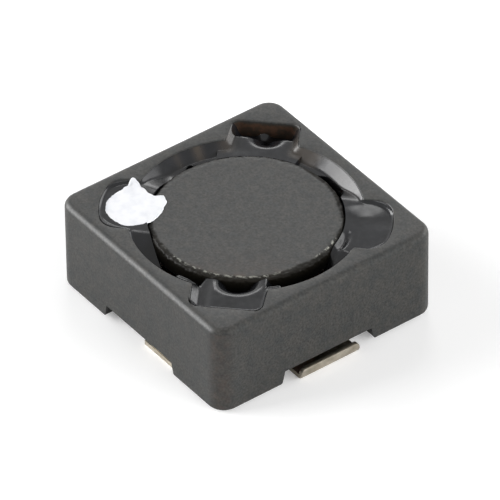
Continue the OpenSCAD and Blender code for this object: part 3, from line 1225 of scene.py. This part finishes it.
@dataclass
class BowlFill(ResinFill):
    """Resin with a deep oval bowl that a trench joins to the outer wall.

    Attributes:
        bowl_at: The bowl's middle, along and across the diagonal.
        bowl_size: Half its length and half its width.
        trench: Depth of the trench.
        tongue: Height of the tongue that climbs the outer wall.
    """

    bowl_at: Point = (4.87, -0.1)
    bowl_size: Point = (0.75, 0.86)
    trench: float = 0.74
    tongue: float = 0.2

    def fall(self, point: Vector, angle: float) -> float:
        """Gives the fall of the rim, the bowl and the trench, less the tongue.

        Args:
            point: Place in the plane.
            angle: Angle from the pocket's diagonal, in degrees; not used here.

        Returns:
            The fall, in millimetres.
        """
        x, y = turned(point, -self.hole.angle)
        flank = self.hole.flank(x, y)
        rim = max(soft_max(self.body.bore_r - point.length, flank, 0.2), 0.0)
        fall = soft_min(rim, 0.24, self.meniscus)
        along = min(x - self.bowl_at[0], 0.0) / self.bowl_size[0]
        across = (y - self.bowl_at[1]) / self.bowl_size[1]
        fall += self.bowl(self.bowl_size[0] * (1 - math.hypot(along, across)))
        trench = self.trench * smoothstep(x, 4.55, 5.2) * smoothstep(flank, 0.0, 0.35)
        fall = soft_max(fall, trench, 0.03)
        climb = math.exp(-(((y - 0.08) / 0.24) ** 2) - (self.body.pocket_r - x) / 0.2)
        return fall - self.tongue * climb


@dataclass
class PaintSpot:
    """The white paint spot, draped over resin, drum and the pocket's flank.

    Attributes:
        centre: Its middle, along and across the pocket's diagonal.
        outline: Radii of its ragged edge, each with the direction before it.
        sunk: How far its underside sinks in.
        resin_drop: How far the resin lies below the shield's top.
        edge: Rolled edge, as shares of the radius and of the thickness.
    """

    body: Body
    centre: Point = (4.25, 0.0)
    outline: tuple[Point, ...] = (
        (0, 1.05), (42, 1.09), (87, 1.17), (111, 1.13), (134, 1.07), (160, 1.06), (186, 1.12),
        (205, 1.28), (219, 1.31), (228, 0.97), (244, 0.98), (262, 1.14), (271, 1.34),
        (279, 1.55), (290, 1.24), (307, 1.06), (330, 1.03),
    )
    thickness: float = 0.07
    sunk: float = 0.012
    resin_drop: float = 0.14
    around: int = 120
    rings: int = 16
    edge: tuple[Point, ...] = ((1.0, 0.0), (1.012, 0.35), (1.0, 0.7), (0.97, 0.93))

    def reach(self, angle: float) -> float:
        """Gives the blob's radius in one direction.

        Args:
            angle: Direction from the pocket's diagonal, in degrees.

        Returns:
            The radius, in millimetres.
        """
        knots = (*self.outline, (self.outline[0][0] + 360, self.outline[0][1]))
        before, after = next(pair for pair in zip(knots, knots[1:]) if angle <= pair[1][0])
        size = before[1] + (after[1] - before[1]) * smoothstep(angle, before[0], after[0])
        around = Vector((*turned((1.0, 0.0), angle), 0.0))
        return size + 0.03 * noise.noise(around * 3) + 0.02 * noise.noise(around * 9)

    def ground(self, x: float, y: float) -> float:
        """Gives the level of what lies under the paint.

        Args:
            x: Place along the pocket's diagonal.
            y: Place across it.

        Returns:
            The level, in millimetres.
        """
        drum, top, rim = self.body.drum_z1, self.body.top_z, self.body.flange_r
        on_resin = smoothstep(math.hypot(x, y), rim - 0.15, rim)
        level = drum + (top - self.resin_drop - drum) * on_resin
        return level + (top - level) * smoothstep(abs(y), 1.2, 1.45)

    def build(self, material: bpy.types.Material) -> None:
        """Models the spot as a thin closed skin with a rolled edge.

        Args:
            material: The paint.
        """
        turn = self.body.pockets["left"].angle
        profile = list(self.edge)
        for k in range(self.rings + 1):
            share = k / self.rings
            profile.append((0.95 * (1 - share) + 0.002, 1 + 0.15 * math.sin(math.pi * share)))
        rows = []
        for share, lift in profile:
            row = []
            for i in range(self.around):
                angle = 360 * i / self.around
                out = turned((self.reach(angle) * share, 0.0), angle)
                x, y = self.centre[0] + out[0], self.centre[1] + out[1]
                bump = 0.3 * noise.noise(Vector((x, y, 1.0)) * 2.2) * (1 - share**4)
                z = self.ground(x, y) + self.thickness * (lift + bump) - self.sunk
                row.append(Vector((*turned((x, y), turn), z)))
            rows.append(row)
        bm = bmesh.new()
        skin(bm, rows, closed=True)
        merge(bm)
        open_edges = [e for e in bm.edges if len(e.link_faces) == 1]
        bmesh.ops.holes_fill(bm, edges=open_edges, sides=0)
        make_piece(bm, "paint_spot", material, "polarity_mark", weighted=False)


@dataclass
class ClipTerminal:
    """A clip terminal stamped from sheet: lip, plate, neck and wire tab.

    It is modelled on the +X side and turned about the middle to its own.
    """

    body: Body
    node: str
    turn: float
    bend_r: float = 0.08
    sheet: float = 0.2
    lip_corner: float = 0.2
    width: float = 2.7
    plate_in: float = 0.9
    neck: float = 0.9
    tab_inset: float = 0.32
    tab_l: float = 1.9
    tab_w: float = 0.82
    edge: float = 0.025

    def build(self, material: bpy.types.Material) -> None:
        """Models the stamping: a flat plate with a bent lip and rounded cut edges.

        Args:
            material: The tin plate.
        """
        low, high = box_mm(self.node)
        outer, lip_h = max(high.x, -low.x), high.z
        turn_r = self.bend_r + self.sheet
        half = self.width / 2
        profile = [(self.plate_in, 0.0), (self.plate_in + self.neck, 0.0), (outer - turn_r, 0.0)]
        profile += arc((outer - turn_r, turn_r), turn_r, -90, 0, 10)[1:]
        profile += [(outer, lip_h - self.lip_corner), (outer, lip_h)]
        bm = bmesh.new()
        skin(bm, [[Vector((x, y, z)) for x, z in profile] for y in (-half, half)], closed=False)
        self._neck(bm)
        merge(bm)
        corners = [v for v in bm.verts if (v.co.xz - Vector((outer, lip_h))).length < 1e-4]
        self._round(bm, corners, self.lip_corner * 0.98, 6, "VERTICES")
        face_out(bm)
        if sum(f.normal.z * f.calc_area() for f in bm.faces) > 0:
            bmesh.ops.reverse_faces(bm, faces=bm.faces)
        bmesh.ops.solidify(bm, geom=list(bm.faces), thickness=self.sheet)
        bm.normal_update()
        self._round(bm, [e for e in bm.edges if e.calc_face_angle(0) > 1.5 * SHARP], self.edge, 2)
        bm.transform(Matrix.Rotation(math.radians(self.turn), 4, "Z"))
        make_piece(bm, f"{self.node}_sheet", material, self.node)

    def _neck(self, bm: bmesh.types.BMesh) -> None:
        """Adds the neck and the wire tab at the plate's inner end.

        Args:
            bm: The plate's mesh.
        """
        x0, x1 = self.plate_in, self.plate_in + self.neck
        far = -(self.body.half - self.tab_inset)
        near = far + self.tab_w
        tab_x = x1 - self.tab_l
        side = -self.width / 2
        for corners in (
            [(x0, near), (x1, near), (x1, side), (x0, side)],
            [(x0, far), (x1, far), (x1, near), (x0, near)],
            [(tab_x, far), (x0, far), (x0, near), (tab_x, near)],
        ):
            bm.faces.new([bm.verts.new((x, y, 0)) for x, y in corners])

    def _round(
        self,
        bm: bmesh.types.BMesh,
        geom: list[bmesh.types.BMEdge] | list[bmesh.types.BMVert],
        width: float,
        segments: int,
        affect: str = "EDGES",
    ) -> None:
        """Rounds edges, or corners in their own plane.

        Args:
            bm: The mesh.
            geom: Edges or vertices to round.
            width: Distance from the old edge to each side.
            segments: Number of faces across the rounding.
            affect: What is rounded, as the bevel operator calls it.
        """
        bmesh.ops.bevel(
            bm, geom=geom, offset=width, offset_type="OFFSET", segments=segments, profile=0.5,
            affect=affect, material=-1, clamp_overlap=affect == "EDGES",
        )


@dataclass
class MagnetWire:
    """The winding with both leads: the frame's own sweep, made round."""

    swell: float = 0.012

    def build(self, material: bpy.types.Material) -> None:
        """Copies the winding's mesh, merges it and smooths its eight sides.

        Args:
            material: The enamelled copper.
        """
        bm = bmesh.new()
        bm.from_mesh(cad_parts["winding"].data)
        bm.transform(Matrix.Scale(1 / MM, 4))
        merge(bm, 1e-4)
        bm.normal_update()
        for v in bm.verts:
            v.co += v.normal * self.swell
        piece = make_piece(bm, "magnet_wire", material, "winding", weighted=False)
        rounder = piece.modifiers.new("round_section", "SUBSURF")
        rounder.levels = rounder.render_levels = 1


# ---------------------------------------------------------------- the studio


def outward(azimuth: float, elevation: float) -> Vector:
    """Gives the direction from the object to a place around it.

    Args:
        azimuth: Angle from -Y towards +X, in degrees.
        elevation: Angle above the board plane.

    Returns:
        A vector of length 1.
    """
    a, e = math.radians(azimuth), math.radians(elevation)
    return Vector((math.sin(a) * math.cos(e), -math.cos(a) * math.cos(e), math.sin(e)))


@dataclass(frozen=True)
class Softbox:
    """A soft lamp, in metres and degrees.

    Attributes:
        azimuth: Direction to it, from -Y towards +X.
        radiance: Brightness of its face beside a white wall of 1.
        mirrored: Whether glossy surfaces show it.
    """

    name: str
    azimuth: float
    elevation: float
    distance: float
    size: tuple[float, float]
    radiance: float
    mirrored: bool = True

    def build(self, target: Vector) -> None:
        """Makes the lamp and turns it to the object.

        Args:
            target: Point that it faces, in metres.
        """
        data = bpy.data.lights.new(self.name, "AREA")
        data.shape = "RECTANGLE"
        data.size, data.size_y = self.size
        data.energy = math.pi * self.size[0] * self.size[1] * self.radiance
        lamp = bpy.data.objects.new(self.name, data)
        bpy.context.scene.collection.objects.link(lamp)
        away = outward(self.azimuth, self.elevation)
        lamp.location = target + away * self.distance
        lamp.rotation_euler = away.to_track_quat("Z", "Y").to_euler()
        lamp.visible_glossy = self.mirrored


@dataclass
class Studio:
    """White surroundings, soft lamps, a pale floor and the camera.

    Attributes:
        azimuth: Direction to the camera, from -Y towards +X, in degrees.
        aim: How far the camera is moved right and up, in metres.
        base_z: How far it is raised.
        surroundings: Light from the surroundings beside a white wall of 1.
    """

    azimuth: float = 53.45
    elevation: float = 39.81
    roll: float = -0.71
    distance: float = 0.2997
    lens: float = 573.9
    aim: tuple[float, float] = (0.00011, 0.001637)
    base_z: float = 0.0001
    floor_size: float = 0.6
    surroundings: float = 0.15
    lamps: tuple[Softbox, ...] = (
        Softbox("left_softbox", -46, 16, 0.25, (0.26, 0.18), 9.8),
        Softbox("back_softbox", 170, 18, 0.25, (0.2, 0.13), 3.0),
        Softbox("rim_softbox", 233, 24, 0.25, (0.1, 0.045), 3.6),
        Softbox("far_softbox", 233, 57, 0.25, (0.045, 0.045), 5.5),
        Softbox("right_softbox", 118, 11, 0.25, (0.3, 0.2), 7.4, mirrored=False),
    )

    def build(self) -> None:
        """Makes the camera, the world, the floor and the lamps."""
        self._camera()
        self._world()
        self._floor()
        target = (Vector(CAD_BOX[0]) + Vector(CAD_BOX[1])) / 2
        for lamp in self.lamps:
            lamp.build(target)
        bpy.context.scene.view_settings.view_transform = "Standard"

    def _camera(self) -> None:
        """Sets the camera at its measured place, looking along its own back axis."""
        a, r = math.radians(self.azimuth), math.radians(self.roll)
        back = outward(self.azimuth, self.elevation)
        side = Vector((math.cos(a), math.sin(a), 0))
        up = back.cross(side)
        right = math.cos(r) * side + math.sin(r) * up
        upright = -math.sin(r) * side + math.cos(r) * up
        data = bpy.data.cameras.new("camera")
        data.lens = self.lens
        data.sensor_width = 36.0
        data.clip_start, data.clip_end = 0.01, 10.0
        camera = bpy.data.objects.new("camera", data)
        place = right * self.aim[0] + upright * self.aim[1] + back * self.distance
        place.z += self.base_z
        turn = Matrix((right, upright, back)).transposed().to_4x4()
        camera.matrix_world = Matrix.Translation(place) @ turn
        bpy.context.scene.collection.objects.link(camera)
        bpy.context.scene.camera = camera

    def _world(self) -> None:
        """Lights the scene softly and shows white to the camera and to reflections."""
        world = bpy.data.worlds.new("studio")
        world.use_nodes = True
        tree = world.node_tree
        tree.nodes.clear()
        path = add_node(tree, "ShaderNodeLightPath").outputs
        seen = path["Is Camera Ray"]
        for kind in ("Is Glossy Ray", "Is Transmission Ray"):
            seen = add_node(tree, "ShaderNodeMath", {0: seen, 1: path[kind]}, operation="MAXIMUM")
        soft, white = (
            add_node(tree, "ShaderNodeBackground", {"Color": (1, 1, 1, 1), "Strength": strength})
            for strength in (self.surroundings, 1.0)
        )
        mix = add_node(tree, "ShaderNodeMixShader", {0: seen, 1: soft, 2: white})
        add_node(tree, "ShaderNodeOutputWorld", {"Surface": mix})
        bpy.context.scene.world = world

    def _floor(self) -> None:
        """Lays a white floor on the board plane that still takes the object's shadow."""
        bm = bmesh.new()
        bmesh.ops.create_grid(bm, x_segments=1, y_segments=1, size=self.floor_size)
        mesh = bpy.data.meshes.new("floor")
        bm.to_mesh(mesh)
        bm.free()
        material, tree = new_tree("white_floor")
        paper = add_node(tree, "ShaderNodeBsdfDiffuse", {"Color": (0.9, 0.9, 0.9, 1)})
        glow = add_node(tree, "ShaderNodeEmission", {"Strength": 0.25})
        both = add_node(tree, "ShaderNodeAddShader", {0: paper, 1: glow})
        seen = add_node(tree, "ShaderNodeLightPath").outputs["Is Camera Ray"]
        mix = add_node(tree, "ShaderNodeMixShader", {0: seen, 1: paper, 2: both})
        add_node(tree, "ShaderNodeOutputMaterial", {"Surface": mix})
        mesh.materials.append(material)
        floor = bpy.data.objects.new("floor", mesh)
        bpy.context.scene.collection.objects.link(floor)


# ---------------------------------------------------------------------- main


def dress_node(node: str, material: bpy.types.Material) -> None:
    """Gives a CAD node that keeps its mesh a finish.

    Args:
        node: Name of the node.
        material: Its material.
    """
    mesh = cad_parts[node].data
    mesh.materials.clear()
    mesh.materials.append(material)
    log.info("%s: dressed in %s", node, material.name)


def resin_fills(body: Body) -> tuple[ResinFill, ...]:
    """Lists the four fills with what is seen along their walls.

    Args:
        body: The shared sizes.

    Returns:
        The fills in the order in which they are built.
    """
    right_gaps, left_gaps = ((70, 101, 9, 0.42),), ((169, 183, 9, 0.42),)
    pale = ((62, 98, 7, 0.1), (100, 124, 7, 0.45))
    brown = ((146, 160, 7, 0.4), (163, 173, 7, 0.85), (176, 184, 7, 0.5))
    return (
        FullFill(
            body, "right", -36, 68, 2.78, right_gaps, (16, 0), pale, dish=0.12, groove=(19, 42)
        ),
        FullFill(body, "left", -68, 42, 2.78, left_gaps, (0, 25), brown, far_side=-1),
        ShelfFill(body, "front", -38, 33, 2.6, fades=(10, 10)),
        BowlFill(body, "back", -22, 22, 3.0, right_gaps + left_gaps, films=pale + brown),
    )


def main() -> None:
    """Builds the studio and every piece."""
    logging.basicConfig(level=logging.INFO, format="%(name)s: %(message)s")
    Studio().build()
    body = Body()
    ferrite = SinteredFerrite().build()
    epoxy = PottingEpoxy().build()
    copper = EnamelledCopper().build()
    tin = TinPlate().build()
    ink = WhiteInk().build()
    ShieldCore(body).build(ferrite)
    DrumCore(body).build(ferrite)
    MagnetWire().build(copper)
    ClipTerminal(body, "finish_terminal", 0).build(tin)
    ClipTerminal(body, "start_terminal", 180).build(tin)
    for end in ("start", "finish"):
        dress_node(f"{end}_solder", tin)
        dress_node(f"{end}_adhesive", epoxy)
    for fill in resin_fills(body):
        fill.build(epoxy)
    PaintSpot(body).build(ink)


if __name__ == "__main__":
    main()
